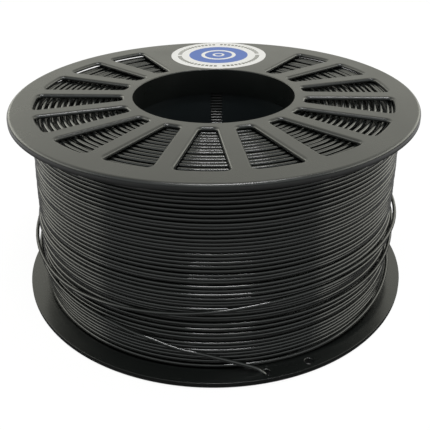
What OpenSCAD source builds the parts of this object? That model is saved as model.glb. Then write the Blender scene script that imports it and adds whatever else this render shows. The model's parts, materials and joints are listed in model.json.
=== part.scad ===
// Large filament spool: two windowed flanges pressed into a slotted hub tube,
// a full winding of filament whose loose end is threaded through the lower rim, and a round label
// that lies flush in a shallow pocket, so that spools can be stacked.
// Sizes are in millimetres. +Z runs along the spool's axis and the origin is at the centre of
// the lower flange's outer face. +Y points to the solid sector that carries the label.

/* [Spool] */
// Diameter of both flanges
flange_d = 200; // [180:1:240]
// Width over both flanges
spool_w = 97; // [70:1:120]
// Thickness of a flange plate
flange_t = 3.2; // [2.6:0.1:5]
// Rounding of the rim's two edges
rim_round = 0.8; // [0.2:0.1:1.2]
// Diameter of the bore through both flanges
bore_d = 81; // [60:1:90]
// Chamfer at the bore's two mouths
bore_chamfer = 0.5; // [0.2:0.1:1]

/* [Windows] */
// Equal sectors round a flange
sector_count = 18; // [14:1:20]
// Sectors left solid under the label
blank_count = 3; // [3:1:6]
// Width of a spoke between two windows
spoke_w = 8; // [5:0.5:12]
// Width of the solid band at the rim
rim_band_w = 12; // [9:0.5:20]
// Width of the solid ring at the bore
bore_ring_w = 5.3; // [5:0.1:12]
// Rounding of a window's corners
window_round = 2.4; // [0.6:0.2:3]

/* [Hub] */
// Wall of the spigot that stands in the hub tube
spigot_wall = 2; // [1.2:0.1:2.4]
// Depth of the spigot's end below the flange's outer face
spigot_depth = 14.4; // [8:0.1:25]
// Lead-in chamfer on the spigot's end
spigot_lead = 0.8; // [0.2:0.1:1]
// Clearance between spigot and hub tube
spigot_gap = 0.1; // [0.05:0.05:0.3]
// Wall of the hub tube
hub_wall = 2.2; // [1.6:0.1:3]
// Width of the slot along the hub tube
slot_w = 6.4; // [3:0.2:12]
// Length of tube left whole at each end of the slot
slot_end = 10; // [5:0.5:20]
// Direction of the slot seen from above
slot_angle = 91; // [0:1:359]

/* [Rim holes of the lower flange] */
// Diameter of a threading hole
hole_d = 3.6; // [3.2:0.1:4.2]
// Distance from a hole's centre to the rim
hole_rim = 3.8; // [3.6:0.1:6]
// Direction of the hole that holds the filament's end
hole_angle = -74; // [-90:1:-60]
// Angle on to the spare hole
hole_step = 12; // [8:1:40]
// Angle on to the moulded triangle, from the spare hole
mark_step = 1.9; // [1.8:0.1:6]
// Radius round the triangle's three corners
mark_r = 1.4; // [0.8:0.1:1.8]
// Height that the triangle stands up
mark_h = 0.3; // [0.2:0.1:0.8]

/* [Filament] */
// Diameter of the filament
fil_d = 1.75; // [1.5:0.05:2.2]
// Depth of the outermost turns below the rim
fill_depth = 9; // [8:0.5:30]
// Turns of the outer layer, with the loose one
loops = 24; // [12:1:24]
// Clearance between the winding and a flange
end_gap = 0.4; // [0.2:0.1:1]
// Clearance between the turns and the core under them
seat_gap = 0.05; // [0.05:0.05:0.2]
// Clearance between the loose turn and the turns that it crosses
loose_gap = 0.6; // [0.5:0.1:1.5]
// Rounding of the wound core's two shoulders
shoulder_r = 2; // [0.5:0.5:4]
// Height of the filament's end above the lower flange's outer face
tail_tip = 1.1; // [0.6:0.1:1.5]

/* [Label] */
// Thickness of the label, and depth of its pocket
label_t = 0.2; // [0.1:0.05:0.5]
// Clearance between the label and the wall of its pocket
label_gap = 0.1; // [0.05:0.05:0.3]
// Bare margin between the label and the edges of the flange's ring
label_margin = 1.3; // [1.2:0.1:6]
// Direction of the label's centre seen from above
label_angle = 90.5; // [88:0.5:92]

/* [Hidden] */
$fn = 96;

eps = 0.5;                    // how far a cutter runs past a face, and how deep the triangle is rooted
corner_fn = 24;               // facets round a window's corner circle
arc_steps = 4;                // steps in a rounded edge of a turned outline

flange_r = flange_d/2;
bore_r = bore_d/2;
spigot_r = bore_r + spigot_wall;
hub_in_r = spigot_r + spigot_gap;
hub_out_r = hub_in_r + hub_wall;
inner_lo = flange_t;                  // inner face of the lower flange
inner_hi = spool_w - flange_t;        // inner face of the upper flange
sector = 360/sector_count;
window_in_r = bore_r + bore_ring_w;
window_out_r = flange_r - rim_band_w;
hole_r = flange_r - hole_rim;         // radius at which the rim holes lie

// The strand runs round in straight steps, so its middle dips between two rings of points.
loop_rings = 24;
strand_sides = 6;
ring_step = 360/loop_rings;
fil_r = fil_d/2;
layer_r = flange_r - fill_depth - fil_r;
core_r = layer_r*cos(ring_step/2) - fil_r - seat_gap;
core_in_r = hub_out_r + spigot_gap;
loose_r = layer_r + fil_d + loose_gap;
layer_lo = inner_lo + end_gap + fil_r;
layer_hi = inner_hi - end_gap - fil_r;
bend_r = 2*fil_d;                     // tightest bend of the strand's two ends

// A point from its direction, its distance from the axis and its height.
function polar(angle, r, z) = [r*cos(angle), r*sin(angle), z];
function unit(v) = v/norm(v);

// An arc of a turned outline, from one direction to another.
function arc(centre, r, from, to) =
    [for (i = [0:arc_steps]) let(a = from + (to - from)*i/arc_steps) centre + r*[cos(a), sin(a)]];

// ---- Flanges -------------------------------------------------------------------------------

// Half section of a flange with its outer face at height 0 and its spigot standing up.
function flange_outline() = concat(
    [[bore_r + bore_chamfer, 0]],
    arc([flange_r - rim_round, rim_round], rim_round, -90, 0),
    arc([flange_r - rim_round, flange_t - rim_round], rim_round, 0, 90),
    [
        [spigot_r, flange_t],
        [spigot_r, spigot_depth - spigot_lead],
        [spigot_r - spigot_lead, spigot_depth],
        [bore_r, spigot_depth],
        [bore_r, bore_chamfer],
    ]
);

// The gap between two spokes of constant width, with its four corners rounded.
module window_outline() {
    offset(r = window_round, $fn = corner_fn) offset(delta = -window_round)
        difference() {
            intersection() {
                circle(r = window_out_r);
                polygon([
                    [0, 0],
                    2*flange_r*[cos(sector/2), -sin(sector/2)],
                    2*flange_r*[cos(sector/2), sin(sector/2)],
                ]);
            }
            circle(r = window_in_r);
            for (side = [-1, 1]) rotate(side*sector/2)
                translate([0, -spoke_w/2]) square([flange_r, spoke_w]);
        }
}

module windows() {
    first = 90 + sector*(blank_count + 1)/2;
    for (i = [0:sector_count - blank_count - 1])
        rotate(first + i*sector) translate([0, 0, -eps])
            linear_extrude(flange_t + 2*eps) window_outline();
}

module flange() {
    difference() {
        rotate_extrude($fn = 180) polygon(flange_outline());
        windows();
    }
}

module lower_flange() {
    color("#3d3f3c") {
        difference() {
            flange();
            for (angle = [hole_angle, hole_angle + hole_step])
                translate(polar(angle, hole_r, -eps)) cylinder(d = hole_d, h = flange_t + 2*eps, $fn = 32);
        }
        rotate(hole_angle + hole_step + mark_step)
            translate([flange_r - rim_round - mark_r, 0, flange_t - eps])
                rotate(180) cylinder(r = mark_r, h = eps + mark_h, $fn = 3);
    }
}

module upper_flange() {
    color("#686962") difference() {
        translate([0, 0, spool_w]) mirror([0, 0, 1]) flange();
        label_disc(label_gap, eps);
    }
}

// ---- Hub -----------------------------------------------------------------------------------

module hub_tube() {
    slot_lo = inner_lo + slot_end + slot_w/2;
    slot_hi = inner_hi - slot_end - slot_w/2;
    color("#1b1d1c") difference() {
        translate([0, 0, inner_lo]) cylinder(r = hub_out_r, h = inner_hi - inner_lo);
        translate([0, 0, inner_lo - eps]) cylinder(r = hub_in_r, h = inner_hi - inner_lo + 2*eps);
        rotate(slot_angle) {
            translate([bore_r, -slot_w/2, slot_lo]) cube([2*hub_wall + spigot_r - bore_r, slot_w, slot_hi - slot_lo]);
            for (z = [slot_lo, slot_hi])
                translate([bore_r, 0, z]) rotate([0, 90, 0])
                    cylinder(d = slot_w, h = 2*hub_wall + spigot_r - bore_r, $fn = 32);
        }
    }
}

// ---- Filament ------------------------------------------------------------------------------

// Everything under the outer layer, as one turned body with rounded shoulders.
module filament_core() {
    lo = inner_lo + end_gap;
    hi = inner_hi - end_gap;
    color("#161716") rotate_extrude($fn = 180) polygon(concat(
        [[core_in_r, lo]],
        arc([core_r - shoulder_r, lo + shoulder_r], shoulder_r, -90, 0),
        arc([core_r - shoulder_r, hi - shoulder_r], shoulder_r, 0, 90),
        [[core_in_r, hi]]
    ));
}

// The outer layer winds down in even turns. Its last turn lifts off, rises over the lower turns
// behind, comes round the side and runs down to the hole in the lower rim.
tail_angle = hole_angle - 2*ring_step;                // where the loose turn has come right round
back_rings = 10;                                      // brings the strand's start round to the back
layer_rings = loop_rings*(loops - 2) + back_rings;
layer_pitch = loop_rings*(layer_hi - layer_lo)/layer_rings;

// Heights of the loose turn above the lower flange's inner face, ring by ring.
loose_heights = [
    [0, layer_lo - inner_lo], [3, layer_lo - inner_lo], [6, 8], [9, 14.5], [12, 20], [15, 23],
    [17, 23.5], [19, 22], [21, 19.6], [22, 18], [23, 16], [24, 13.2],
];
loose_lift = [[0, 0], [1, 0.3], [2, 0.75], [3, 1]];   // share of the way out to the loose turn's radius

// The start comes squarely out of the core, bends round and settles on it.
start_angle = tail_angle - loop_rings*ring_step - layer_rings*ring_step;
start_foot = core_r + seat_gap;
start_share = [1, 0.75, 0.35];                        // how much of its height the bend has left
function start_path() = let(out = polar(start_angle, 1, 0), along = polar(start_angle + 90, 1, 0)) concat(
    [start_foot*out + [0, 0, layer_hi]],
    [for (a = [0:30:90])
        (start_foot + fil_d + bend_r*sin(a))*out + bend_r*(1 - cos(a))*along + [0, 0, layer_hi]]
);
start_top_r = start_foot + fil_d + bend_r;
function layer_ring_r(i) = i > len(start_share) - 1 ? layer_r
    : max(layer_r, layer_r + (start_top_r - layer_r)*start_share[i]);
function layer_path() = [for (i = [1:layer_rings])
    polar(start_angle + i*ring_step, layer_ring_r(i), layer_hi - (layer_hi - layer_lo)*i/layer_rings)];
function loose_path() = [for (i = [1:loop_rings])
    polar(tail_angle + (i - loop_rings)*ring_step,
        layer_r + (loose_r - layer_r)*lookup(i, loose_lift), inner_lo + lookup(i, loose_heights))];

// The tail leaves the winding along a tangent, bends down and stands square in the hole.
leave_angle = hole_angle - acos(loose_r/hole_r);
leave_height = inner_lo + 8.6;
leave = polar(leave_angle, loose_r, leave_height);
hole_at = polar(hole_angle, hole_r, 0);
tail_top = tail_tip + fil_d;
bend_end = 75;                                        // how far the tail has turned from upright
function tail_path() = let(
    back = unit([leave[0] - hole_at[0], leave[1] - hole_at[1], 0]),
    turn = [for (a = [bend_end:-25:0])
        hole_at + bend_r*(1 - cos(a))*back + [0, 0, tail_top + bend_r*sin(a)]]
) concat(
    [
        polar((tail_angle + leave_angle)/2, loose_r, (leave_height + inner_lo + loose_heights[11][1])/2),
        leave,
        (2*leave + turn[0])/3,
        (leave + 2*turn[0])/3,
    ],
    turn,
    [hole_at + [0, 0, tail_tip]]
);

strand_path = concat(start_path(), layer_path(), loose_path(), tail_path());

// The direction of the strand at each point, and a side direction carried along without twist.
function heading(path, i) = unit(path[min(i + 1, len(path) - 1)] - path[max(i - 1, 0)]);
function square_to(v, along) = unit(v - (v*along)*along);
function side_directions(path) = [
    for (i = 0, side = square_to([0, 0, 1], heading(path, 0));
         i < len(path);
         i = i + 1, side = i < len(path) ? square_to(side, heading(path, i)) : side)
        side
];

module swept_strand(path, r) {
    sides = side_directions(path);
    last = len(path) - 1;
    points = concat(
        [path[0]],
        [for (i = [0:last]) let(up = sides[i], across = cross(heading(path, i), up))
            for (k = [0:strand_sides - 1]) let(a = 360*k/strand_sides)
                path[i] + r*(cos(a)*up + sin(a)*across)],
        [path[last]]
    );
    function corner(i, k) = 1 + i*strand_sides + k % strand_sides;
    faces = concat(
        [for (k = [0:strand_sides - 1]) [0, corner(0, k + 1), corner(0, k)]],
        [for (i = [0:last - 1]) for (k = [0:strand_sides - 1])
            for (face = [
                [corner(i, k), corner(i, k + 1), corner(i + 1, k + 1)],
                [corner(i, k), corner(i + 1, k + 1), corner(i + 1, k)],
            ]) face],
        [for (k = [0:strand_sides - 1]) [len(points) - 1, corner(last, k), corner(last, k + 1)]]
    );
    polyhedron(points, faces, convexity = 10);
}

// Least clearance of the strand to itself, over every pair of rings that lie more than half a turn apart.
strand_gap = min([
    for (i = [0:len(strand_path) - loop_rings/2 - 1])
        for (j = [i + loop_rings/2:min(i + 7*loop_rings, len(strand_path) - 1)])
            norm(strand_path[i] - strand_path[j])
]) - fil_d;
echo(str("Outer layer: pitch ", layer_pitch, " mm, least gap of the strand to itself ", strand_gap, " mm"));

module filament_strand() {
    color("#222322") swept_strand(strand_path, fil_r);
}

// ---- Label ---------------------------------------------------------------------------------

// The label's disc, grown by a clearance and carried up past the flange's outer face.
module label_disc(gap, proud) {
    ring_w = flange_r - bore_r;
    translate(polar(label_angle, bore_r + ring_w/2, spool_w - label_t))
        cylinder(r = ring_w/2 - label_margin + gap, h = label_t + proud);
}

module label() {
    color("white") label_disc(0, 0);
}

upper_flange();
lower_flange();
hub_tube();
filament_core();
filament_strand();
label();
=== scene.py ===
# %% [markdown]
# # A full filament spool
# The object is a large plastic reel for 3-D printing filament: two flanges with a ring of windows,
# a hub tube between them, layers of close turns of black filament, and a round label.
# The imported CAD model gives its sizes and places. This notebook gives it its looks: finer meshes
# for the parts that show, the real winding, and a material for each kind of plastic.
#
# The first cell loads the imported model and keeps its parts, from whose boxes the sizes are read.

import json
import math

import bmesh
import bpy
import numpy as np
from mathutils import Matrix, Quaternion, Vector


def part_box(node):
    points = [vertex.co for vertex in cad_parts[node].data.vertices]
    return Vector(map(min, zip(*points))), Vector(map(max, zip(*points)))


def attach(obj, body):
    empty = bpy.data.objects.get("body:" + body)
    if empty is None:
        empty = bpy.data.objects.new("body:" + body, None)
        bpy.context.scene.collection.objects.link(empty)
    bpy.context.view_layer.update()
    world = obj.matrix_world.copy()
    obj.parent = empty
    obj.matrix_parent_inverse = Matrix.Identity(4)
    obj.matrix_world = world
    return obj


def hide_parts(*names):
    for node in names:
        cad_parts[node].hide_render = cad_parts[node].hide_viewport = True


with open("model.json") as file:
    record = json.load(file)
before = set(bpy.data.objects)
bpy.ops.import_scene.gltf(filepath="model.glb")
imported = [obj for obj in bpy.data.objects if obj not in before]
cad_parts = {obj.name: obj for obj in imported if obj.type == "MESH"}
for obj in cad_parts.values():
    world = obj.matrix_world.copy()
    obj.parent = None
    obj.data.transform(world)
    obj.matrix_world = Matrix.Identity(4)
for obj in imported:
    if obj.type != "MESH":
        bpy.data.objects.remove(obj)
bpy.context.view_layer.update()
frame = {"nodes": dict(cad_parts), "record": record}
print("CAD nodes:", sorted(frame["nodes"]))

# %% [markdown]
# ## Sizes from the frame
# Lengths are in metres, as Blender counts them, and MM turns millimetres into metres. The main
# sizes could be typed here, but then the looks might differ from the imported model. So they are
# read from it: a node's box gives widths and heights, and the mount for the spindle gives the
# bore. Finer sizes, such as a window's corner, are named values close to where they are used.

# %% Sizes from the frame
MM = 0.001


def corners(node):
    """The lowest and the highest corner of a CAD node, to the micrometre."""
    return [[round(value, 6) for value in corner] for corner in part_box(node)]


flange_top = corners("upper_flange")[1]
SPOOL_W = flange_top[2]
FLANGE_R = flange_top[0]
SPIGOT_DEPTH = corners("lower_flange")[1][2]
tube_foot, tube_top = corners("hub_tube")
FLANGE_T = tube_foot[2]
HUB_OUT_R = tube_top[0]
label_back, label_face = corners("label")
LABEL_T = round(label_face[2] - label_back[2], 6)
mounts = {mount["name"]: mount for mount in frame["record"]["mounts"]}
BORE_R = mounts["spindle_bore"]["dims"]["r_mm"] * MM
print("Spool in mm:", [round(v / MM, 2) for v in (2 * FLANGE_R, SPOOL_W, 2 * BORE_R, FLANGE_T)])

# %% [markdown]
# ## Camera
# The camera looks slightly down on the spool from the front. It could be placed by three
# coordinates and three angles, but those say little to a reader. So its place is given by a
# direction round the object, a rise above the horizon, a distance from an aim point on the
# spool's axis, and a lens. The frame is a crop from what the lens draws, so the lens axis doesn't
# meet its middle, and the shift moves the frame by that much.

# %% Camera
AIM = Vector((0, 0, 65.2 * MM))
CAMERA_TURN = math.radians(3.12)
CAMERA_RISE = math.radians(24.33)
CAMERA_DISTANCE = 328.3 * MM
CAMERA_ROLL = math.radians(-0.58)
LENS_MM = 52.5
SENSOR_MM = 36
SHIFT_X = 0.002
SHIFT_Y = -0.150

back = Vector((
    math.sin(CAMERA_TURN) * math.cos(CAMERA_RISE),
    -math.cos(CAMERA_TURN) * math.cos(CAMERA_RISE),
    math.sin(CAMERA_RISE),
))
camera_data = bpy.data.cameras.new("camera")
camera_data.lens = LENS_MM
camera_data.sensor_width = SENSOR_MM
camera_data.shift_x = SHIFT_X
camera_data.shift_y = SHIFT_Y
camera_data.clip_start = 0.01
camera = bpy.data.objects.new("camera", camera_data)
camera.rotation_mode = "QUATERNION"
camera.location = AIM + back * CAMERA_DISTANCE
camera.rotation_quaternion = (-back).to_track_quat("-Z", "Y") @ Quaternion((0, 0, 1), CAMERA_ROLL)
bpy.context.scene.collection.objects.link(camera)
bpy.context.scene.camera = camera
print("Camera at", [round(v / MM, 1) for v in camera.location], "mm")

# %% [markdown]
# ## Colours and shader nodes
# Colours are written as the sRGB hex values that a paint program shows. Shaders calculate with
# linear light, so one function converts them, and makes them lighter or darker where a material
# drifts between two tones. A second small function adds any shader node with its settings and
# links, which keeps every material down to a few readable lines.

# %% Colours and nodes
def colour(hex_code, gain=1.0):
    """Linear RGBA of an sRGB hex colour such as #3a3b37, times a gain."""
    parts = [int(hex_code[i : i + 2], 16) / 255 for i in (1, 3, 5)]
    linear = [p / 12.92 if p <= 0.04045 else ((p + 0.055) / 1.055) ** 2.4 for p in parts]
    return (*(gain * p for p in linear), 1.0)


def add_node(tree, kind, inputs=None, **settings):
    """Adds a node. An input's value is a number or colour, or the output socket that feeds it."""
    node = tree.nodes.new(kind)
    for name, value in settings.items():
        setattr(node, name, value)
    for name, value in (inputs or {}).items():
        if isinstance(value, bpy.types.NodeSocket):
            tree.links.new(value, node.inputs[name])
        else:
            node.inputs[name].default_value = value
    return node


def new_material(name):
    """An empty node material, its node tree and its output node."""
    material = bpy.data.materials.new(name)
    material.use_nodes = True
    material.node_tree.nodes.clear()
    output = add_node(material.node_tree, "ShaderNodeOutputMaterial")
    return material, material.node_tree, output


view_settings = bpy.context.scene.view_settings
view_settings.view_transform = "Standard"
print("View transform:", view_settings.view_transform)

# %% [markdown]
# ## Studio
# Black plastic is hardly seen by its own colour. What the eye sees is what it mirrors: the pale
# backdrop behind it at a grazing angle, and what hangs high in front as a thin line along each
# turn. So the floor and the world are white to the camera, and pale to reflections behind the
# spool, while the room in front of it and beside it is dark low down and pale higher up. The
# light that falls on the spool from all of them stays modest. A tent of white planes would mirror
# well too, but each plane would also light the spool, and a graded world keeps the two apart.
#
# Two things are needed for that: a level that changes smoothly over a stretch of the room, and
# one that depends on whether the camera, a mirroring surface or a matt one looks at it.

# %% Light levels
WHITE = (1.0, 1.0, 1.0, 1.0)
WARM_WHITE = (1.0, 1.0, 0.89, 1.0)
COOL_WHITE = (0.95, 1.0, 0.98, 1.0)


def largest(tree, *sockets):
    """The largest of some values."""
    result = sockets[0]
    for socket in sockets[1:]:
        pair = {0: result, 1: socket}
        result = add_node(tree, "ShaderNodeMath", pair, operation="MAXIMUM").outputs[0]
    return result


def graded(tree, value, span, levels):
    """A level that goes smoothly from the first to the second of `levels` over a span of `value`."""
    return add_node(tree, "ShaderNodeMapRange", {
        "Value": value, "From Min": span[0], "From Max": span[1],
        "To Min": levels[0], "To Max": levels[1]}, interpolation_type="SMOOTHSTEP").outputs[0]


def by_ray(tree, direct, mirrored, fill):
    """`direct` for camera rays, `mirrored` for mirrored and clear rays, `fill` for the others."""
    path = add_node(tree, "ShaderNodeLightPath")
    bounced = largest(tree, path.outputs["Is Glossy Ray"], path.outputs["Is Transmission Ray"])
    second = add_node(tree, "ShaderNodeMix", {"Factor": bounced, 2: fill, 3: mirrored}).outputs[0]
    seen = path.outputs["Is Camera Ray"]
    return add_node(tree, "ShaderNodeMix", {"Factor": seen, 2: second, 3: direct}).outputs[0]


print("Colours of light:", WHITE[:3], WARM_WHITE[:3], COOL_WHITE[:3])

# %% [markdown]
# The floor is white paper that glows to the camera and still takes a faint shadow, because part of
# its white is lit by the lamps. It also throws half of their light back on the spool. Under the
# spool the glow stops, a painted shadow where a lit floor would be dark, but not where it shows
# through the bore. In mirrors it is dark close to the spool, a painted shade of the spool on the
# floor, and beyond that it gets paler towards the back.
# Distances are in metres from the middle of the spool's foot.

# %% Floor
FLOOR_SIZE = 12.0
FLOOR_DROP = 0.05 * MM
FLOOR_GLOW = 0.94
# A painted shadow: under the spool the floor glows only this much to the camera.
PAINTED_SHADOW_UNDER_SPOOL = 0.06
FLOOR_SHADE = 0.09
FLOOR_BOUNCE = 0.50
# The near level is a painted shade of the spool on the floor, as mirrors see it.
MIRRORED_FLOOR = {"near": 0.07, "front": 0.42, "back": 0.75}
FLOOR_FRONT_TO_BACK = (-0.35, 0.0)
PAINTED_SHADE_SPAN = (0.24, 0.33)
SPOOL_EDGE = (0.098, 0.0995)
BORE_EDGE = (0.036, 0.042)

paper, tree, output = new_material("white_paper_backdrop")
place = add_node(tree, "ShaderNodeNewGeometry").outputs["Position"]
y = add_node(tree, "ShaderNodeSeparateXYZ", {0: place}).outputs["Y"]
level = graded(tree, y, FLOOR_FRONT_TO_BACK, (MIRRORED_FLOOR["front"], MIRRORED_FLOOR["back"]))
reach = add_node(tree, "ShaderNodeVectorMath", {0: place}, operation="LENGTH").outputs["Value"]
# Mirrors see the floor darker close to the spool: a painted shade.
mirrored = graded(tree, reach, PAINTED_SHADE_SPAN, (MIRRORED_FLOOR["near"], level))
# To the camera the glow drops under the spool, a painted shadow, and stays where the bore shows through.
beside = graded(tree, reach, SPOOL_EDGE, (PAINTED_SHADOW_UNDER_SPOOL, FLOOR_GLOW))
in_bore = graded(tree, reach, BORE_EDGE, (FLOOR_GLOW, PAINTED_SHADOW_UNDER_SPOOL))
strength = by_ray(tree, largest(tree, beside, in_bore), mirrored, 0.0)
glow = add_node(tree, "ShaderNodeEmission", {"Color": WHITE, "Strength": strength})
shade = by_ray(tree, FLOOR_SHADE, 0.0, FLOOR_BOUNCE)
matt = add_node(tree, "ShaderNodeBsdfDiffuse", {"Color": shade})
both = add_node(tree, "ShaderNodeAddShader", {0: glow.outputs[0], 1: matt.outputs[0]})
tree.links.new(both.outputs[0], output.inputs["Surface"])

bpy.ops.mesh.primitive_plane_add(size=FLOOR_SIZE, location=(0, 0, -FLOOR_DROP))
floor = bpy.context.object
floor.name = "floor"
floor.data.materials.append(paper)
print("Floor:", floor.name, "of", paper.name)

# %% [markdown]
# The world is the room. It is graded by the direction that is looked in: y runs from the camera's
# side at -1 to the back at 1, and z from the horizon at 0 to the ceiling at 1. Mirroring surfaces
# see its walls and ceiling, and matt ones a plain fill that is weaker in front. Its light is a
# little warmer at the back.

# %% World
MIRRORED_WALLS = {"front": 0.05, "back": 0.75}
MIRRORED_UPPER_WALLS = {"front": 0.8, "back": 1.0}
MIRRORED_CEILING = {"front": 0.15, "back": 1.0}
FILL = {"front": 0.14, "back": 0.50}
WALLS_IN_Y = (0.4, 0.9)
CEILING_IN_Y = (-0.2, 0.6)
FILL_IN_Y = (-0.6, 0.6)
TINT_IN_Y = (-0.4, 0.4)
WALLS_IN_Z = (0.0, 0.5)
CEILING_IN_Z = (0.7, 0.95)

world = bpy.data.worlds.new("studio")
world.use_nodes = True
tree = world.node_tree
tree.nodes.clear()
ahead = add_node(tree, "ShaderNodeTexCoord").outputs["Generated"]
direction = add_node(tree, "ShaderNodeSeparateXYZ", {0: ahead})
y, z = direction.outputs["Y"], direction.outputs["Z"]
walls, upper_walls, ceiling, fill = (
    graded(tree, y, span, (levels["front"], levels["back"]))
    for span, levels in (
        (WALLS_IN_Y, MIRRORED_WALLS),
        (CEILING_IN_Y, MIRRORED_UPPER_WALLS),
        (CEILING_IN_Y, MIRRORED_CEILING),
        (FILL_IN_Y, FILL),
    )
)
lit_walls = graded(tree, z, WALLS_IN_Z, (walls, upper_walls))
overhead = graded(tree, z, CEILING_IN_Z, (0.0, 1.0))
mirrored = add_node(tree, "ShaderNodeMix", {"Factor": overhead, 2: lit_walls, 3: ceiling}).outputs[0]
strength = by_ray(tree, 1.0, mirrored, fill)
side = graded(tree, y, TINT_IN_Y, (0.0, 1.0))
tints = {"Factor": side, 6: COOL_WHITE, 7: WARM_WHITE}
tint = add_node(tree, "ShaderNodeMix", tints, data_type="RGBA").outputs[2]
seen = add_node(tree, "ShaderNodeLightPath").outputs["Is Camera Ray"]
tones = {"Factor": seen, 6: tint, 7: WHITE}
tone = add_node(tree, "ShaderNodeMix", tones, data_type="RGBA").outputs[2]
lit = add_node(tree, "ShaderNodeBackground", {"Color": tone, "Strength": strength})
add_node(tree, "ShaderNodeOutputWorld", {"Surface": lit.outputs[0]})
bpy.context.scene.world = world
print("World:", world.name)

# %% [markdown]
# The lamps draw the bright lines. A narrow one above the front makes the short glints along the
# turns that stand out, and the wide, weak one round it makes their soft surroundings. A second
# narrow one lies further back. Two long softboxes beside the spool draw the lines that run along
# the turns where the winding curves away from the camera. Bright patches in the world could do
# the same from afar, but a lamp has a place and an edge, and a line on a turn ends where the
# mirrored edge lies.

# %% Lamps
AT_SPOOL = (0, 0, 0.09)
SIDE_LAMP_Y = 0.75


def add_lamp(name, place, target, size, watts, tint=WHITE):
    """A rectangular lamp at `place` that faces `target`, all in metres."""
    data = bpy.data.lights.new(name, "AREA")
    data.shape = "RECTANGLE"
    data.size, data.size_y = size
    data.energy = watts
    data.color = tint[:3]
    lamp = bpy.data.objects.new(name, data)
    lamp.location = place
    lamp.rotation_euler = (Vector(target) - Vector(place)).to_track_quat("-Z", "Y").to_euler()
    bpy.context.scene.collection.objects.link(lamp)


add_lamp("front_ceiling_lamp", (0.06, -0.36, 1.15), AT_SPOOL, (0.46, 0.10), 5.0)
add_lamp("front_ceiling_glow", (0.06, -0.37, 1.17), AT_SPOOL, (0.46, 0.40), 0.6)
add_lamp("middle_ceiling_lamp", (0.31, 0.02, 1.15), AT_SPOOL, (0.24, 0.12), 1.2)
for side in (-1, 1):
    place, target = (side * 1.05, SIDE_LAMP_Y, 0.53), (0, SIDE_LAMP_Y, 0.15)
    add_lamp("side_lamp", place, target, (2.5, 0.42), 6.0, WARM_WHITE)

# %% [markdown]
# ## Flange plastic
# The flanges are injection-moulded high-impact polystyrene, pigmented dark grey. The mould is
# spark-eroded, which leaves a fine, even grain of about 0.2 mm: the surface mirrors softly and its
# highlights are broad. Here the grain is drawn at twice that size, because the true one is too
# fine to show. Where the plastic cooled faster it came out a little glossier, in clouds about
# 25 mm wide. The hub tube is of the same plastic, dyed black and duller. The grain is a bump and
# not real geometry, because it is only some hundredths of a millimetre deep.

# %% Flange plastic
GRAIN = 0.4 * MM
GRAIN_HEIGHT = 0.03 * MM
CLOUD = 25 * MM
# The noises hardly leave this range, so it stands for all of what they do.
NOISE_LOW, NOISE_HIGH = 0.3, 0.7


def moulded_plastic(name, hex_code, roughness):
    """Pigmented moulded plastic: a fine eroded grain and a slow drift in gloss."""
    material, tree, output = new_material(name)
    where = add_node(tree, "ShaderNodeTexCoord").outputs["Object"]
    grain = add_node(tree, "ShaderNodeTexNoise", {"Vector": where, "Scale": 1 / GRAIN, "Detail": 2.0})
    cloud = add_node(tree, "ShaderNodeTexNoise", {"Vector": where, "Scale": 1 / CLOUD, "Detail": 3.0})
    gloss = add_node(tree, "ShaderNodeMapRange", {
        "Value": cloud.outputs["Fac"], "From Min": NOISE_LOW, "From Max": NOISE_HIGH,
        "To Min": roughness - 0.03, "To Max": roughness + 0.03})
    tint = add_node(tree, "ShaderNodeMix", {
        "Factor": cloud.outputs["Fac"], 6: colour(hex_code), 7: colour(hex_code, 0.88)},
        data_type="RGBA")
    bump = add_node(tree, "ShaderNodeBump", {
        "Height": grain.outputs["Fac"], "Strength": 0.12, "Distance": GRAIN_HEIGHT})
    shader = add_node(tree, "ShaderNodeBsdfPrincipled", {
        "Base Color": tint.outputs[2], "Roughness": gloss.outputs[0], "IOR": 1.66,
        "Normal": bump.outputs["Normal"]})
    tree.links.new(shader.outputs[0], output.inputs["Surface"])
    return material


flange_plastic = moulded_plastic("moulded_polystyrene_dark_grey", "#111413", 0.29)
hub_plastic = moulded_plastic("moulded_polystyrene_black", "#171f22", 0.45)
print("Moulded plastics:", flange_plastic.name, hub_plastic.name)

# %% [markdown]
# ## Filament
# The filament is extruded ABS, dyed black. It is pulled through a round die and cooled in water,
# so it is smooth along its length with faint draw lines, and glossier than the moulded flanges.
# The inner layers, which only show through the slot and in gaps, are drawn with a softer gloss.
# Noise that is stretched along the turns gives those lines. They are drawn 0.35 mm wide, because
# true ones of a few hundredths are too fine to show. A slower noise makes some turns a little
# duller and paler than their neighbours, as handling does.

# %% Filament
DRAW_LINE = 0.35 * MM
DRAW_LINE_HEIGHT = 0.02 * MM
HANDLED_TURNS = 2.6 * MM
ALONG_TURNS = (0.12, 0.12, 1.0)


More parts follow.
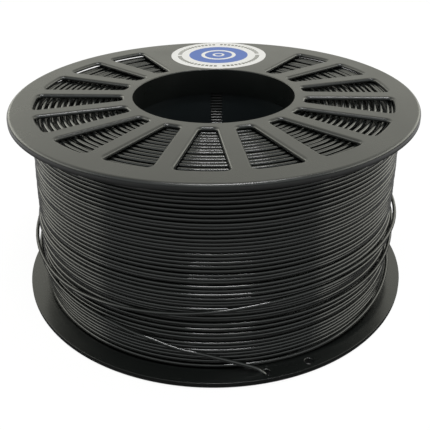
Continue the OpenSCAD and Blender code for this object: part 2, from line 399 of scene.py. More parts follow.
def extruded_filament(name, hex_code, roughness):
    """Dyed extruded strand with draw lines along it."""
    material, tree, output = new_material(name)
    where = add_node(tree, "ShaderNodeTexCoord").outputs["Object"]
    flat = add_node(tree, "ShaderNodeMapping", {"Vector": where, "Scale": ALONG_TURNS})
    lines = add_node(tree, "ShaderNodeTexNoise", {
        "Vector": flat.outputs[0], "Scale": 1 / DRAW_LINE, "Detail": 2.0})
    turns = add_node(tree, "ShaderNodeTexNoise", {
        "Vector": flat.outputs[0], "Scale": 1 / HANDLED_TURNS, "Detail": 1.0})
    gloss = add_node(tree, "ShaderNodeMapRange", {
        "Value": turns.outputs["Fac"], "From Min": NOISE_LOW, "From Max": NOISE_HIGH,
        "To Min": roughness - 0.03, "To Max": roughness + 0.06})
    tint = add_node(tree, "ShaderNodeMix", {
        "Factor": turns.outputs["Fac"], 6: colour(hex_code), 7: colour(hex_code, 1.5)},
        data_type="RGBA")
    bump = add_node(tree, "ShaderNodeBump", {
        "Height": lines.outputs["Fac"], "Strength": 0.01, "Distance": DRAW_LINE_HEIGHT})
    shader = add_node(tree, "ShaderNodeBsdfPrincipled", {
        "Base Color": tint.outputs[2], "Roughness": gloss.outputs[0], "IOR": 1.70,
        "Normal": bump.outputs["Normal"]})
    tree.links.new(shader.outputs[0], output.inputs["Surface"])
    return material


black_filament = extruded_filament("extruded_abs_black", "#171918", 0.10)
inner_filament = extruded_filament("extruded_abs_black_satin", "#171918", 0.36)
print("Filament:", black_filament.name, inner_filament.name)

# %% [markdown]
# ## Label inks
# The label is a white vinyl sticker with a satin face. Blue and grey are printed on it, so they
# share its gloss. The print could be a picture laid on the face, but a picture blurs up close. So
# each ink is a material of its own, laid on the faces that it covers, which keeps the edges of
# the print sharp from any distance.

# %% Label inks
MOTTLE = 1.2 * MM


def printed_vinyl(name, hex_code):
    """Satin vinyl in one printed colour, with the faint mottle of a screen print."""
    material, tree, output = new_material(name)
    where = add_node(tree, "ShaderNodeTexCoord").outputs["Object"]
    mottle = add_node(tree, "ShaderNodeTexNoise", {"Vector": where, "Scale": 1 / MOTTLE, "Detail": 2.0})
    tint = add_node(tree, "ShaderNodeMix", {
        "Factor": mottle.outputs["Fac"], 6: colour(hex_code), 7: colour(hex_code, 0.93)},
        data_type="RGBA")
    shader = add_node(tree, "ShaderNodeBsdfPrincipled", {
        "Base Color": tint.outputs[2], "Roughness": 0.45, "IOR": 1.5})
    tree.links.new(shader.outputs[0], output.inputs["Surface"])
    return material


inks = {
    "white": printed_vinyl("vinyl_white", "#eae9ea"),
    "blue": printed_vinyl("vinyl_printed_blue", "#4468b8"),
    "grey": printed_vinyl("vinyl_printed_grey", "#5c5c55"),
}
print("Inks:", sorted(inks))

# %% [markdown]
# ## Flanges
# A flange is one moulding: a disc with a rounded rim 3.2 mm thick, fifteen windows between straight
# spokes, and a short ring round the bore that stands in the hub tube. The edges of moulded windows
# are rounded, and that rounding is what catches the light, so it has to be real geometry.
#
# A disc could have its windows cut out by a boolean and then be bevelled, but a bevel that meets
# so many corners is seldom even. So each edge is made as a wall: one outline is repeated at
# several depths, a little larger where the edge is rounded, and neighbouring loops are joined by
# quads. The flat faces are then filled between the walls. One extra loop just inside each flat
# face keeps its shading flat.

# %% Walls and flat faces
WEB_T = 2.0 * MM
RIM_ROUND = 1.5 * MM
PARTING_ROUND = 0.15 * MM
EDGE_ROUND = 1.5 * MM
FAR_ROUND = 0.35 * MM
SUPPORT = 0.12 * MM
ROUND_STEPS = 5


def quarter(radius):
    """(grow, depth) pairs of an outward-rounded edge that ends `radius` deep."""
    angles = [math.pi / 2 * i / ROUND_STEPS for i in range(ROUND_STEPS + 1)]
    return [(radius * (1 - math.sin(a)), radius * (1 - math.cos(a))) for a in angles]


def edge_wall(radius, thickness, far_radius):
    """(grow, depth) pairs of a wall through a plate, rounded where it meets both faces."""
    near = quarter(radius)
    far = [(grow, thickness - depth) for grow, depth in reversed(quarter(far_radius))]
    return [(radius + SUPPORT, 0)] + near + far + [(far_radius + SUPPORT, thickness)]


def polar(radius, turn):
    """The point (x, y) at a distance from the axis and an angle."""
    return (radius * math.cos(turn), radius * math.sin(turn))


def circle(radius, count, centre=(0.0, 0.0), shift=0.0):
    """Points of a circle as (x, y). `shift` turns it by that share of a step."""
    angles = [2 * math.pi * (i + shift) / count for i in range(count)]
    return [(centre[0] + radius * math.cos(a), centre[1] + radius * math.sin(a)) for a in angles]


def loft(bm, outlines):
    """Joins a list of (points, z) loops by quads, and gives back the loops of vertices."""
    loops = [[bm.verts.new((x, y, z)) for x, y in points] for points, z in outlines]
    for upper, lower in zip(loops, loops[1:]):
        count = len(upper)
        for i in range(count):
            j = (i + 1) % count
            bm.faces.new((upper[i], upper[j], lower[j], lower[i]))
    return loops


def fill_flat(bm, loops):
    """Fills the flat face that lies between closed loops of vertices."""
    edges = []
    for loop in loops:
        for a, b in zip(loop, loop[1:] + loop[:1]):
            edges.append(bm.edges.get((a, b)) or bm.edges.new((a, b)))
    bmesh.ops.triangle_fill(bm, edges=edges, use_beauty=True, normal=(0, 0, 1))


window_wall = edge_wall(EDGE_ROUND, WEB_T, FAR_ROUND)
wall_in_mm = [(round(grow / MM, 2), round(depth / MM, 2)) for grow, depth in window_wall]
print("Window wall in mm:", wall_in_mm)

# %% [markdown]
# Every piece is finished in the same way. It is shaded smooth apart from its sharp edges, rides on
# the spool's only body, gets its materials, and hides the CAD nodes that it stands for.

# %% Finished pieces
SHARP_EDGE = 35
SHARP_STRAND = 60
SHARP_RIBS = 80


def finish_piece(name, bm, materials, replaced):
    """Turns a bmesh into a piece, with all its faces looking outwards."""
    bmesh.ops.recalc_face_normals(bm, faces=bm.faces[:])
    mesh = bpy.data.meshes.new(name)
    bm.to_mesh(mesh)
    bm.free()
    finish_mesh(name, mesh, materials, replaced)


def finish_mesh(name, mesh, materials, replaced, sharp=SHARP_EDGE):
    """Makes a smooth-shaded piece that rides on the spool and stands for CAD nodes."""
    for material in materials:
        mesh.materials.append(material)
    mesh.shade_smooth()
    mesh.set_sharp_from_angle(angle=math.radians(sharp))
    piece = bpy.data.objects.new(name, mesh)
    bpy.context.scene.collection.objects.link(piece)
    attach(piece, "root")
    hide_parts(*replaced)
    print(f"{name}: {len(mesh.polygons)} faces")


print("Edges stay sharp from", SHARP_EDGE, "degrees")

# %% [markdown]
# A window lies between two spokes of constant width, so its sides aren't radial: they run parallel
# to the spokes' centre lines. Its corners are arcs whose centres stay where they are when the
# outline grows, which makes the rounded edge equally wide all round.

# %% Window outline
SECTORS = 18
BLANK_SECTORS = 3
HALF_SECTOR = math.pi / SECTORS
HALF_SPOKE = 4.3 * MM
WINDOW_IN_R = 45.8 * MM
WINDOW_OUT_R = 88 * MM
WINDOW_CORNER = 2.4 * MM
CORNER_STEPS = 6
OUTER_STEPS = 8
INNER_STEPS = 3


def window_outline(grow, turn):
    """The window whose middle is at angle `turn`, grown by `grow`, anticlockwise as (x, y)."""
    along = np.array([math.cos(HALF_SECTOR), math.sin(HALF_SECTOR)])
    inward = np.array([math.sin(HALF_SECTOR), -math.cos(HALF_SECTOR)])
    side = HALF_SPOKE + WINDOW_CORNER
    corner_r = WINDOW_CORNER + grow
    edge_angle = HALF_SECTOR + math.pi / 2

    def corner_at(radius):
        return math.sqrt(radius**2 - side**2) * along + side * inward

    outer = corner_at(WINDOW_OUT_R - WINDOW_CORNER)
    inner = corner_at(WINDOW_IN_R + WINDOW_CORNER)
    outer_angle = math.atan2(outer[1], outer[0])
    inner_angle = math.atan2(inner[1], inner[0])

    def arc(centre, radius, first, last, steps):
        return [
            centre + radius * np.array([math.cos(a), math.sin(a)])
            for a in np.linspace(first, last, steps + 1)
        ]

    half = arc((0, 0), WINDOW_OUT_R + grow, 0, outer_angle, OUTER_STEPS // 2)[:-1]
    half += arc(outer, corner_r, outer_angle, edge_angle, CORNER_STEPS)
    half += arc(inner, corner_r, edge_angle, math.pi + inner_angle, CORNER_STEPS)
    half += arc((0, 0), WINDOW_IN_R - grow, inner_angle, 0, INNER_STEPS)[1:]
    mirrored = [np.array([x, -y]) for x, y in reversed(half[1:-1])]
    turned = np.array([[math.cos(turn), math.sin(turn)], [-math.sin(turn), math.cos(turn)]])
    return [tuple(p @ turned) for p in half + mirrored]


window_turns = [
    math.pi / 2 + 2 * HALF_SECTOR * (i + (BLANK_SECTORS + 1) / 2)
    for i in range(SECTORS - BLANK_SECTORS)
]
print(len(window_turns), "windows of", len(window_outline(0, 0)), "points")

# %% [markdown]
# The upper and the lower flange are the same moulding. Only the rim and the seat of the hub tube
# have the full thickness: between them the web is thinner, as moulders do to save plastic and
# cooling time. The upper flange has a shallow pocket for the label. The lower one has two holes in
# its rim. The filament's end is threaded into one, and beside the spare one is a small raised
# triangle.

# %% Sizes of the flanges
RIM_POINTS = 240
BORE_POINTS = 144
POCKET_POINTS = 96
HOLE_POINTS = 24
RIM_IN_R = 91.5 * MM
BORE_ROUND = 0.5 * MM
SPIGOT_R = 42.5 * MM
SPIGOT_LEAD = 0.8 * MM
SEAT_R = 44.95 * MM
SEAT_SUPPORT = 0.1 * MM
HOLE_R = 1.8 * MM
HOLE_ROUND = 0.45 * MM
HOLE_RING_R = 96.2 * MM
THREADED_HOLE = math.radians(-74)
SPARE_HOLE = math.radians(-62)
MARK_TURN = math.radians(-60.1)
MARK_R = 1.4 * MM
MARK_TAPER = 0.1 * MM
MARK_H = 0.3 * MM
LABEL_CENTRE = polar(70.25 * MM, math.radians(90.5))
LABEL_R = 28.45 * MM
LABEL_GAP = 0.1 * MM
print("Label's middle in mm:", [round(v / MM, 2) for v in LABEL_CENTRE])

# %% [markdown]
# Three parts of a flange have a form of their own. The bore's wall goes down the bore, round the
# end of the ring that stands in the hub tube, and out to the tube's seat. The label's pocket and
# the raised triangle are short walls, each closed by a face of its own.

# %% Bore, pocket and mark
def bore_wall():
    """(grow, depth) pairs down the bore, round the end of its ring and out to the hub's seat."""
    outside = [
        (SPIGOT_R - SPIGOT_LEAD, SPIGOT_DEPTH), (SPIGOT_R, SPIGOT_DEPTH - SPIGOT_LEAD),
        (SPIGOT_R, FLANGE_T), (SEAT_R, FLANGE_T), (SEAT_R, WEB_T), (SEAT_R + SEAT_SUPPORT, WEB_T)]
    inside = [(BORE_ROUND + SUPPORT, 0)] + quarter(BORE_ROUND) + [(0, SPIGOT_DEPTH)]
    return inside + [(radius - BORE_R, depth) for radius, depth in outside]


def label_pocket(bm):
    """The pocket's wall and bottom. Gives back its edge in the outer face."""
    outline = circle(LABEL_R + LABEL_GAP, POCKET_POINTS, LABEL_CENTRE)
    edge, bottom = loft(bm, [(outline, SPOOL_W), (outline, SPOOL_W - LABEL_T)])
    bm.faces.new(bottom)
    return edge


def raised_triangle(bm):
    """The mark beside the spare hole. Gives back its foot in the rim's inner face."""
    centre = polar(FLANGE_R - RIM_ROUND - MARK_R, MARK_TURN)
    # A corner points at the axis. The turn is counted in steps, of which a triangle has three.
    pointing_in = (MARK_TURN + math.pi) * 3 / (2 * math.pi)
    foot, top = loft(bm, [
        (circle(radius, 3, centre, pointing_in), FLANGE_T + rise)
        for radius, rise in ((MARK_R, 0), (MARK_R - MARK_TAPER, MARK_H))])
    bm.faces.new(top)
    return foot


print("Bore's wall:", len(bore_wall()), "loops")

# %% [markdown]
# All other walls end in two of a flange's three flat faces: the outer face, the web's inner face,
# and the rim's inner face, which lies deeper. Once all walls stand, each flat face is filled
# between the loops that ended in it.

# %% Both flanges
def flange(name, upper):
    """One flange with its outer face at depth 0, turned over where it is the upper one."""
    bm = bmesh.new()
    outer_face, web_face, rim_face = [], [], []

    def add_wall(outline, wall, first_face, last_face):
        loops = loft(bm, [
            (outline(grow), SPOOL_W - depth if upper else depth) for grow, depth in wall])
        first_face.append(loops[0])
        last_face.append(loops[-1])

    add_wall(lambda grow: circle(FLANGE_R - grow, RIM_POINTS),
             edge_wall(RIM_ROUND, FLANGE_T, PARTING_ROUND), outer_face, rim_face)
    add_wall(lambda grow: circle(RIM_IN_R - grow, RIM_POINTS),
             [(0, FLANGE_T), (0, WEB_T), (SUPPORT, WEB_T)], rim_face, web_face)
    for turn in window_turns:
        add_wall(lambda grow, turn=turn: window_outline(grow, turn), window_wall, outer_face, web_face)
    add_wall(lambda grow: circle(BORE_R + grow, BORE_POINTS), bore_wall(), outer_face, web_face)
    if upper:
        outer_face.append(label_pocket(bm))
    else:
        for turn in (THREADED_HOLE, SPARE_HOLE):
            centre = polar(HOLE_RING_R, turn)
            add_wall(lambda grow, centre=centre: circle(HOLE_R + grow, HOLE_POINTS, centre),
                     edge_wall(HOLE_ROUND, FLANGE_T, HOLE_ROUND), outer_face, rim_face)
        rim_face.append(raised_triangle(bm))
    for face in (outer_face, web_face, rim_face):
        fill_flat(bm, face)
    finish_piece(name, bm, [flange_plastic], [name.replace("moulded_", "")])


flange("moulded_upper_flange", upper=True)
flange("moulded_lower_flange", upper=False)

# %% [markdown]
# ## Hub tube
# The hub tube is a plain black tube with one slot along it. It has no rounded edge that shows, and
# a finer mesh would look the same. The CAD solid already has its exact shape, so it stays and only
# gets its plastic.

# %% Hub tube
hub_tube = frame["nodes"]["hub_tube"]
hub_tube.data.materials.clear()
hub_tube.data.materials.append(hub_plastic)
print("Hub tube keeps", len(hub_tube.data.polygons), "CAD faces")

# %% [markdown]
# ## Label
# The sticker is a thin disc in a shallow pocket. Its print is a blue disc inside a ring of short
# grey dashes in four groups, with a plain white sign of a spool seen from the end: a flange's rim
# and a hub. The face is cut into rings and each ring into cells, and a cell takes the ink that is
# printed at its middle.

# %% Label
LABEL_CELLS = 180
MIDDLE_R = 0.6 * MM
SIGN_RINGS = [(2.2 * MM, 3.6 * MM), (8.2 * MM, 10.4 * MM)]
DISC_R = 17.6 * MM
DASH_IN_R = 22.2 * MM
DASH_OUT_R = 24.6 * MM
DASH_CELLS = 3
GROUP_CELLS = 45
GROUP_GAP_CELLS = 3


def ink_at(radius, cell):
    """Which ink covers a cell of the label, from its radius and its place round the label."""
    if DASH_IN_R < radius < DASH_OUT_R and cell % DASH_CELLS and cell % GROUP_CELLS > GROUP_GAP_CELLS:
        return "grey"
    if radius > DISC_R:
        return "white"
    return "white" if any(low < radius < high for low, high in SIGN_RINGS) else "blue"


def label():
    """The sticker's printed face, its edge and its back."""
    bm = bmesh.new()
    names = list(inks)
    sign_radii = [radius for ring in SIGN_RINGS for radius in ring]
    radii = [MIDDLE_R, *sign_radii, DISC_R, DASH_IN_R, DASH_OUT_R, LABEL_R]
    outlines = [(circle(r, LABEL_CELLS, LABEL_CENTRE), SPOOL_W) for r in radii]
    outlines.append((circle(LABEL_R, LABEL_CELLS, LABEL_CENTRE), SPOOL_W - LABEL_T))
    loops = loft(bm, outlines)
    bm.faces.ensure_lookup_table()
    for ring, (low, high) in enumerate(zip(radii, radii[1:])):
        for cell in range(LABEL_CELLS):
            face = bm.faces[ring * LABEL_CELLS + cell]
            face.material_index = names.index(ink_at((low + high) / 2, cell))
    middle = bm.faces.new(loops[0])
    middle.material_index = names.index("blue")
    bm.faces.new(loops[-1])
    finish_piece("printed_label", bm, [inks[n] for n in names], ["label"])


label()

# %% [markdown]
# ## Winding
# The filament is wound in layers of about fifty turns. All of them could be made as strands, but
# under the outer layer they hardly show, and they would take over a million faces. So one turned
# body stands for the inner layers. Its outer and inner walls are ribbed like turns, which show in
# the gaps of the outer layer and through the slot of the hub tube.

# %% Inner layers
STRAND_R = 0.875 * MM
STRAND_D = 2 * STRAND_R
INNER_LOW = WEB_T
INNER_HIGH = SPOOL_W - WEB_T
LAYER_R = 90.125 * MM
OUTER_RIBS_R = LAYER_R - STRAND_R - 1.9 * MM
INNER_RIBS_R = HUB_OUT_R + STRAND_D - 0.5 * MM
BODY_END = 5.6 * MM
BODY_POINTS = 144
RIB_STEPS = 6


def ribs(wall_r, direction, low, high):
    """(radius, z) points of a wall of round ribs, from low to high."""
    count = round((high - low) / STRAND_D)
    points = []
    for i in range(count * RIB_STEPS + 1):
        z = low + (high - low) * i / (count * RIB_STEPS)
        swell = abs(math.sin(math.pi * i / RIB_STEPS))
        points.append((wall_r + direction * STRAND_R * swell, z))
    return points


def inner_layers(name):
    """A closed profile, ribbed outside and inside, turned round the axis."""
    low, high = INNER_LOW + BODY_END, INNER_HIGH - BODY_END
    profile = ribs(OUTER_RIBS_R, 1, low, high) + ribs(INNER_RIBS_R, -1, low, high)[::-1]
    turns = np.linspace(0, 2 * math.pi, BODY_POINTS, endpoint=False)
    points = [(*polar(radius, turn), z) for turn in turns for radius, z in profile]
    size = len(profile)
    faces = []
    for i in range(BODY_POINTS):
        here, there = i * size, (i + 1) % BODY_POINTS * size
        for j in range(size):
            after = (j + 1) % size
            faces.append((here + j, there + j, there + after, here + after))
    mesh = bpy.data.meshes.new(name)
    mesh.from_pydata(points, [], faces)
    finish_mesh(name, mesh, [inner_filament], ["filament_core"], sharp=SHARP_RIBS)


inner_layers("inner_layers")

# %% [markdown]
# The outer layer is one strand. A curve object with a round bevel could draw it, but such a curve
# twists where it bends in two directions. This cell makes a tool that sweeps the filament's round
# section along a path and keeps one side of it turned away from the axis, so it never twists.

# %% Swept strand
SIDES = 10


def strand(name, path, replaced, sides=SIDES):
    """Sweeps the filament's round section along an (n, 3) array of points."""
    ahead = np.gradient(path, axis=0)
    ahead /= np.linalg.norm(ahead, axis=1)[:, None]
    out = path * [1, 1, 0]
    out /= np.linalg.norm(out, axis=1)[:, None]
    out -= ahead * np.sum(out * ahead, axis=1)[:, None]
    out /= np.linalg.norm(out, axis=1)[:, None]
    across = np.cross(ahead, out)
    angles = 2 * math.pi * np.arange(sides) / sides
    ring = np.cos(angles)[None, :, None] * out[:, None] + np.sin(angles)[None, :, None] * across[:, None]
    points = (path[:, None] + STRAND_R * ring).reshape(-1, 3)
    count = len(path)
    i, k = np.meshgrid(np.arange(count - 1), np.arange(sides), indexing="ij")
    a, b = i * sides + k, i * sides + (k + 1) % sides
    quads = np.stack([a, a + sides, b + sides, b], axis=-1).reshape(-1, 4)
    ends = [tuple(range(sides)), tuple(range(count * sides - 1, (count - 1) * sides - 1, -1))]
    mesh = bpy.data.meshes.new(name)
    mesh.from_pydata(points, [], [tuple(q) for q in quads] + ends)
    finish_mesh(name, mesh, [black_filament], replaced, sharp=SHARP_STRAND)


print(f"Strand: {SIDES} sides, {STRAND_D / MM} mm thick")

# %% [markdown]
# A path is a long list of samples in cylindrical form: an angle, a distance from the axis and a
# height. Three small tools turn such samples into points, smooth them, and make them uneven.

# %% Paths
STEPS_PER_TURN = 120


def cylindrical(angle, radius, height):
    """Points from angles in degrees, distances from the axis and heights, arrays or numbers."""
    angle, radius, height = np.broadcast_arrays(np.radians(angle), radius, height)
    return np.stack([radius * np.cos(angle), radius * np.sin(angle), height], axis=-1)


def smoothed(values, span):
    """A running mean over `span` samples, with the ends kept."""
    padded = np.pad(values, span // 2, mode="edge")
    return np.convolve(padded, np.ones(span) / span, mode="valid")[: len(values)]


def wave(turn, rate, phase=0.0):
    """A sine with `rate` waves per turn, which keeps turns from being alike."""
    return np.sin(2 * math.pi * rate * turn + phase)


print("Samples per turn:", STEPS_PER_TURN)

# %% [markdown]
# On a real winding no two gaps are alike, and the eye knows a regular one at once. So a table gives
# every turn's height in mm where it passes the front, and how far it stands out of the layer. Where
# two turns are wound closer than a strand is thick, one of them has to go in or out, and a turn that
# stands out under one that lies deep is the one that catches the lamp. Away from the front, slow
# waves move the turns too, and a second table of (height, swell) says how far the layer comes out
# on the left. The whole winding also lies a little to the right of the axis.
#
# All lengths are in mm here, and angles in degrees: -90 is the front, 0 the right, 90 the back.
# The path starts some samples before the first turn's front and ends in the last turn's sweep.

# %% Turns of the outer layer
FRONT = -90
TURNS = [
    (92.9, 0.0), (90.0, 0.0), (88.1, 0.0), (86.4, 0.05), (84.65, -0.05), (82.7, 0.0), (80.7, 0.1),
    (78.55, 0.0), (76.5, -0.1), (74.5, 0.0), (72.9, -0.5), (71.3, 0.0), (69.4, 0.0), (67.5, 0.08),
    (65.7, 0.0), (64.0, 0.03), (62.35, -0.4), (60.6, -0.08), (58.8, -0.08), (56.9, -0.06),
    (55.1, -0.02), (52.95, -0.07), (50.6, -0.16), (48.85, -0.1), (47.25, -0.6), (45.0, -0.2),
    (42.95, -0.45), (41.5, 0.44), (39.6, 0.5), (37.6, 0.1), (35.95, -0.32), (34.15, 0.05),
    (32.5, -0.37), (31.0, -0.9), (29.6, -0.1), (28.1, -0.75), (26.3, 0.0), (23.6, 0.0), (21.0, 0.0),
    (19.15, 0.0), (17.7, -0.8), (16.0, -0.1), (14.15, -0.2), (12.45, 0.0), (10.7, -0.05), (9.0, 0.0),
    (6.75, -0.12), (4.15, 0.0),
]
SWELL_LEFT = [
    (3, 0), (12, 0.6), (28, 1.1), (43, 0.7), (51, 0.2), (60, 0), (66, -0.4), (74, -0.7), (90, -0.5),
]
LAYER_OUT = 0.25
LAYER_ASIDE = 0.45
HEIGHT_WAVE, HEIGHT_RATE = 0.10, 0.37
PROUD_WAVE, PROUD_RATE = 0.08, 0.61
FINE_WAVE, FINE_RATE = 0.04, 2.3
LEAD_IN_STEPS = 38
LAST_ANGLE = 615

last_turn = len(TURNS) - 1 + (LAST_ANGLE - FRONT) / 360
turn = np.arange(-LEAD_IN_STEPS, last_turn * STEPS_PER_TURN + 1) / STEPS_PER_TURN
angle = FRONT + 360 * turn
front_heights, front_prouds = zip(*TURNS)
height = np.interp(turn, range(len(TURNS)), front_heights)
proud = np.interp(turn, range(len(TURNS)), front_prouds)
off_front = np.sin(np.radians(180 * turn)) ** 2
height += HEIGHT_WAVE * off_front * wave(turn, HEIGHT_RATE, 1)
proud += PROUD_WAVE * off_front * wave(turn, PROUD_RATE) + FINE_WAVE * wave(turn, FINE_RATE, 2)
layer = LAYER_R / MM + LAYER_OUT + LAYER_ASIDE * np.cos(np.radians(angle))
swell = np.interp(height, *zip(*SWELL_LEFT))
layer += swell * np.clip(-np.cos(np.radians(angle)), 0, 1)
pitch = -np.diff(front_heights)
print(f"{len(TURNS)} turns, {pitch.min():.2f} to {pitch.max():.2f} mm apart")

# %% [markdown]
# Some stretches leave their place. The first turn comes up from the layer below, two turns ride up
# on their neighbours at the right, and the last two turns cross the finished layer in a slack
# sweep. A formula for such a sweep would be harder to read than the places it goes through. So
# each is given by its turn's number and a list of (angle, height, stands out).

# %% Stretches that leave the layer
STRETCHES = [
    (0, [
        (-204, 92.9, -1.9), (-160, 92.9, -0.3), (-90, 92.9, 0), (90, 92.6, 0), (108, 92.0, 0),
        (126, 90.9, 0), (162, 90.7, 0), (270, 90.0, 0),
    ]),
    (28, [
        (-90, 39.6, 0.5), (-75, 39.3, 0.5), (-60, 39.2, 0.8), (-45, 39.8, 1.5), (-30, 40.2, 2.3),
        (-20, 40.6, 2.9), (-10, 41.4, 3.0), (0, 42.4, 2.4), (10, 42.9, 1.9), (30, 42.0, 1.7),
        (60, 40.5, 1.0), (90, 38.6, 0.3),
    ]),
    (36, [
        (-75, 26.2, 0), (-60, 25.9, 0.3), (-45, 26.3, 0.8), (-35, 27.0, 1.5), (-25, 28.3, 1.9),
        (-18, 30.0, 1.9), (-10, 31.5, 1.8), (5, 32.0, 1.8), (40, 30.0, 1.75), (80, 26.0, 0.5),
        (110, 24.8, 0),
    ]),
    (47, [
        (-90, 4.15, 0), (-59, 4.4, 0), (-14, 11, 1.6), (31, 19, 1.7), (76, 26, 1.7), (121, 31, 1.7),
        (160, 34, 1.9), (176, 34.2, 2.4), (185, 32.8, 3.0), (195, 30.0, 4.0), (202, 28.2, 3.9),
        (210, 27.3, 3.2), (217, 27.1, 2.9), (222, 27.2, 2.9), (230, 27.8, 2.5), (240, 29.0, 2.0),
        (250, 30.2, 1.7), (260, 31.8, 1.6), (265, 32.6, 1.6), (270, 33.5, 1.6),
    ]),
    (47, [
        (270, 33.5, 1.6), (273, 34.1, 1.6), (282, 35.9, 1.6), (288, 36.8, 1.6), (293, 37.2, 1.6),
        (300, 37.1, 1.6), (330, 37.3, 1.6), (360, 37.0, 1.6), (405, 35.8, 1.6), (450, 33.5, 1.6),
        (495, 29.5, 1.6), (530, 26.0, 1.6), (545, 24.8, 1.6), (555, 23.8, 1.6), (570, 22.4, 1.6),
        (585, 21.6, 1.6), (594, 20.9, 1.6), (600, 20.7, 1.7), (603, 20.2, 1.8), (607, 19.6, 2.0),
        (611, 18.8, 2.2), (615, 17.3, 2.5),
    ]),
]
print("Stretches at turns", [number for number, _ in STRETCHES])

# %% [markdown]
# Where a stretch crosses turns that were wound before it, it is lifted until it lies on them. Two
# strands at about the same height have to lie a thickness apart, or a little less, as they press
# on each other. The lift is eased in and out, because a strand is too stiff to kink.

# %% Stretches laid over the turns
TOUCHING = 1.68
EASE_STEPS = 5
SMOOTHING_STEPS = 5


def lay_over(stretch, radius, height):
    """Lifts a stretch of the strand clear of all turns that were wound before it."""
    rise = np.zeros(len(stretch))
    for n, i in enumerate(stretch):
        before = np.arange(i % STEPS_PER_TURN, i, STEPS_PER_TURN)
        apart = np.abs(height[before] - height[i])
        near = apart < TOUCHING
        least = radius[before][near] + np.sqrt(TOUCHING**2 - apart[near] ** 2)
        rise[n] = max(0.0, least.max(initial=0.0) - radius[i])
    window = 2 * EASE_STEPS + 1
    wide = np.pad(rise, 2 * EASE_STEPS, mode="edge")
    highest = [wide[n : n + window].max() for n in range(len(rise) + 2 * EASE_STEPS)]
    radius[stretch] += np.convolve(highest, np.ones(window) / window, mode="valid")


radius = layer + proud
for number, points in STRETCHES:
    where = [360 * number + a for a, _, _ in points]
    stretch = np.flatnonzero((angle >= where[0]) & (angle <= where[-1]))
    height[stretch] = np.interp(angle[stretch], where, [h for _, h, _ in points])
    radius[stretch] = layer[stretch] + np.interp(angle[stretch], where, [p for _, _, p in points])
    # The first turn has none before it to lie on.
    if number:
        lay_over(stretch, radius, height)
    print(f"Turn {number}: stands out {(radius - layer)[stretch].max():.1f} mm at most")
height = smoothed(height, SMOOTHING_STEPS)
radius = smoothed(radius, SMOOTHING_STEPS)
path = cylindrical(angle, radius, height) * MM

# %% [markdown]
# The tail leaves the winding on a tangent and bends down into the threading hole. Its curve has to
# pass through a few places: two beside the winding, and four that lead down into the hole. Those
# stand close together, because the strand is bent there. A curve that goes through all its corners
# makes that easy, where others only pass near them.

# %% Tail and outer layer
TAIL_STEPS = 8
BESIDE_WINDING = [(-97.0, 92.6, 14.2), (-90.0, 92.5, 11.8)]
OVER_HOLE = [(-7, 0.6, 5.6), (-2.2, 0.2, 3.2), (-0.4, 0, 1.8), (0, 0, 1.1)]

hole = np.array([*polar(HOLE_RING_R, THREADED_HOLE), 0])
tail_corners = [path[-1]]
tail_corners += [cylindrical(*corner) * MM for corner in BESIDE_WINDING]
tail_corners += [hole + np.array(offset) * MM for offset in OVER_HOLE]


def through(corners, steps):
    """A smooth curve through its corners (Catmull-Rom), with `steps` points to each stretch."""
    c = [2 * corners[0] - corners[1], *corners, 2 * corners[-1] - corners[-2]]
    points = []
    for a, b, d, e in zip(c, c[1:], c[2:], c[3:]):
        for t in np.arange(steps) / steps:
            points.append(0.5 * (2 * b + (d - a) * t + (2 * a - 5 * b + 4 * d - e) * t**2
                                 + (3 * b - a - 3 * d + e) * t**3))
    points.append(c[-2])
    return np.array(points)


tail = through(tail_corners, TAIL_STEPS)
strand("outer_turns", np.concatenate([path, tail[1:]]), ["filament_strand"])

# %% [markdown]
# At each flange a layer's last turn lies against the plastic and steps up to the next layer, whose
# own first turn lies further in. Seen through the windows these ends look like a flat spiral with
# a deeper one in its gaps. Closed turns end both at the winding's edge. Slow waves keep the ends
# from being alike, and at the back, where the camera looks at them at a low angle, more of them
# lie deep. At the back on the left the upper ones sag, and light falls through between them and
# the rim. The real ends belong to many layers, but only these few millimetres of them show, so two
# spirals at each flange are enough. Lengths are in mm, and depths are measured from the web. A
# wave is given by its size and how many there are per turn.

# %% Sizes of the turn ends
END_PITCH = 3.0
END_IN_R = 46.4
FIRST_END_R = 45.85
END_OUT_R = 86.0
LAST_END_R = 89.2
LAST_GROOVE_R = 87.6
END_DEPTH = 0.12
GROOVE = 2.8
LAST_DEPTH = 0.5
END_RADIUS_WAVE, END_RADIUS_RATE = 0.12, 1.31
END_DEPTH_WAVES = [(0.12, 0.53, 1), (0.10, 1.27, 2)]
BEHIND_WAVE, BEHIND_RATE = 0.5, 0.38
GROOVE_WAVE, GROOVE_RATE = 0.4, 0.77
END_STEPS = 96
END_SIDES = 8
EDGE_TURNS = 2.15
GROOVE_EDGE_TURNS = 1.15
FIRST_EDGE_TURN = 1.1
STEPS_UP_PER_TURN = 10
SAG = 0.4
LAST_SAG = 0.9
SAG_ANGLE = 141
SAG_REACH = 26
SAG_EASE = 6
SAG_IN_R = 50
SAG_FULL_R = 65
print("Ends every", END_PITCH, "mm from", FIRST_END_R, "to", LAST_END_R, "mm")

# %% [markdown]
# A spiral starts one turn early, against the hub tube, so that no gap shows at the windows' inner
# ends. Its last turns leave the spiral and lie against each other at the layer's edge.

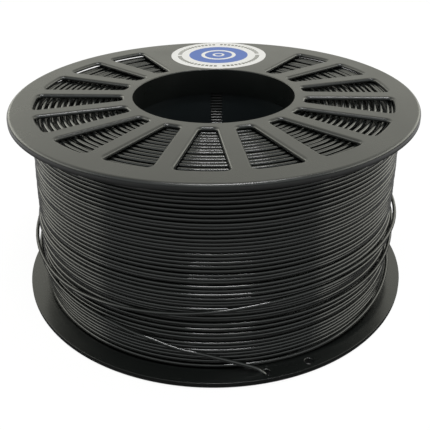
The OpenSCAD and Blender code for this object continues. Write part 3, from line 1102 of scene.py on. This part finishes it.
# %% Turn ends behind the windows
def end_turns(name, upper, in_groove, seed):
    """A flat spiral of ends, closed by two full turns at the layer's edge, or by one in a groove."""
    first = END_IN_R + (END_PITCH / 2 if in_groove else 0)
    spiral = (END_OUT_R - first) / END_PITCH
    edge_turns = GROOVE_EDGE_TURNS if in_groove else EDGE_TURNS
    turn = np.arange(-1, spiral + edge_turns, 1 / END_STEPS)
    radius = np.maximum(first + END_PITCH * turn, FIRST_END_R)
    radius += END_RADIUS_WAVE * wave(turn, END_RADIUS_RATE, seed)
    depth = np.full(len(turn), END_DEPTH)
    for size, rate, phase in END_DEPTH_WAVES:
        depth += size * (1 + wave(turn, rate, phase * seed))
    behind = np.clip(wave(turn, 1), 0, 1)
    depth += BEHIND_WAVE * behind * (1 + wave(turn, BEHIND_RATE, seed))
    if in_groove:
        depth += GROOVE + GROOVE_WAVE * wave(turn, GROOVE_RATE, 3 * seed)
    last = np.clip((turn - spiral) * STEPS_UP_PER_TURN, 0, 1)
    inner = np.clip((spiral + FIRST_EDGE_TURN - turn) * STEPS_UP_PER_TURN, 0, 1)
    edge = LAST_GROOVE_R if in_groove else LAST_END_R - STRAND_D / MM * inner
    radius += last * (edge - radius)
    depth += last * ((GROOVE if in_groove else LAST_DEPTH) - depth)
    if upper:
        aside = np.abs((360 * turn - SAG_ANGLE + 180) % 360 - 180)
        sag = SAG * np.clip((radius - SAG_IN_R) / (SAG_FULL_R - SAG_IN_R), 0, 1)
        sag += last * (LAST_SAG - LAST_DEPTH - sag)
        depth += sag * np.clip((SAG_REACH - aside) / SAG_EASE, 0, 1)
    gap = depth + STRAND_R / MM
    height = (INNER_HIGH / MM - gap) if upper else (INNER_LOW / MM + gap)
    strand(name, cylindrical(360 * turn, radius, height) * MM, ["filament_core"], sides=END_SIDES)


end_turns("turn_ends_upper", upper=True, in_groove=False, seed=0.4)
end_turns("turn_ends_upper_in_grooves", upper=True, in_groove=True, seed=1.1)
end_turns("turn_ends_lower", upper=False, in_groove=False, seed=1.9)
end_turns("turn_ends_lower_in_grooves", upper=False, in_groove=True, seed=2.7)
